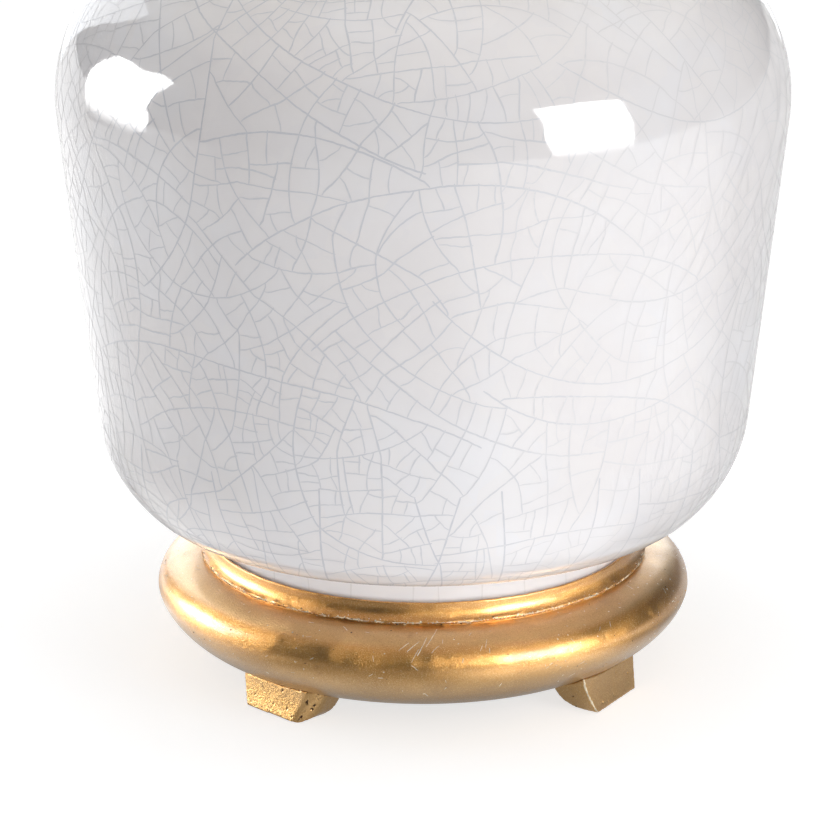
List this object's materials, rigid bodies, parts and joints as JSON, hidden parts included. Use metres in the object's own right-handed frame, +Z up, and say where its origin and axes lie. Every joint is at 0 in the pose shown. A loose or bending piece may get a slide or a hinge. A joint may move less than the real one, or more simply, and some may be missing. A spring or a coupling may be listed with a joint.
{
  "type": "table lamp",
  "caption": "Table lamp: hollow crackle-glazed jar on a gold-leafed moulded stand with bracket feet, harp, turn-knob socket and tapered drum shade.",
  "frame": {"origin": "on the table, on the lamp's vertical axis, at the centre of the feet", "axes": "+Z up along the lamp's axis, -Y to the front, where the switch knob points, +X to the right, in the plane of the harp"},
  "size_m": [0.4073, 0.4074, 0.6384],
  "materials": {
    "gold_leaf": "gold leaf over gesso, rubbed satin",
    "glaze": "glossy white crackle glaze",
    "brass": "satin brass",
    "shade_wire": "off-white powder coat",
    "steel": "zinc plated",
    "felt": "dark brown felt",
    "rubber": "matte black",
    "bushing": "brown, matte",
    "phenolic": "dark moulded resin",
    "knob": "black, moulded",
    "fibre": "tan fibre board",
    "bulb_glass": "frosted white",
    "bulb_cap": "bright rolled shell",
    "contact": "black glass insulator with a solder tip",
    "linen": "off-white linen weave",
    "styrene": "white backing, matte"
  },
  "bodies": {
    "base": {"stand": "gold_leaf", "foot_front_left": "gold_leaf", "foot_front_right": "gold_leaf", "foot_rear_right": "gold_leaf", "foot_rear_left": "gold_leaf", "base_cover": "felt", "cord_bushing": "bushing", "base_washer": "steel", "base_lock_washer": "steel", "base_nut": "brass", "threaded_pipe": "brass", "jar_gasket": "felt", "jar": "glaze", "collar_gasket": "rubber", "vase_cap": "brass", "neck_tube": "brass", "check_ring": "brass", "harp_saddle": "brass", "harp_wire": "brass", "harp_stud": "brass", "socket_cap": "brass", "socket_set_screw": "steel", "socket_shell": "brass", "socket_liner": "fibre", "socket_interior": "phenolic", "terminal_screws": "steel", "screw_shell": "brass", "centre_contact": "brass"},
    "switch": {"switch_shaft": "brass", "switch_knob": "knob"},
    "sleeve_left": {"harp_sleeve_left": "brass"},
    "sleeve_right": {"harp_sleeve_right": "brass"},
    "bulb": {"bulb_glass": "bulb_glass", "bulb_screw_cap": "bulb_cap", "bulb_contact": "contact"},
    "shade": {"shade_cover": "linen", "shade_backing": "styrene", "shade_top_trim": "linen", "shade_bottom_trim": "linen", "shade_top_ring": "shade_wire", "shade_bottom_ring": "shade_wire", "shade_spider": "shade_wire"},
    "finial": {"finial_base": "gold_leaf", "finial": "gold_leaf"}
  },
  "joints": [
    {"name": "switch_turn", "type": "hinge", "parent": "base", "child": "switch", "pos_m": [0, -0.025, 0.37809], "axis": [0, -1, 0], "continuous": true},
    {"name": "sleeve_left_lift", "type": "slide", "parent": "base", "child": "sleeve_left", "axis": [0, 0, 1], "range_m": [0, 0.014]},
    {"name": "sleeve_right_lift", "type": "slide", "parent": "base", "child": "sleeve_right", "axis": [0, 0, 1], "range_m": [0, 0.014]},
    {"name": "bulb_turn", "type": "hinge", "parent": "base", "child": "bulb", "pos_m": [0, 0, 0.42], "axis": [0, 0, 1], "range_deg": [0, 1080]},
    {"name": "shade_turn", "type": "hinge", "parent": "base", "child": "shade", "pos_m": [0, 0, 0.6], "axis": [0, 0, 1], "continuous": true},
    {"name": "finial_turn", "type": "hinge", "parent": "base", "child": "finial", "pos_m": [0, 0, 0.607], "axis": [0, 0, 1], "range_deg": [0, 3240]}
  ]
}
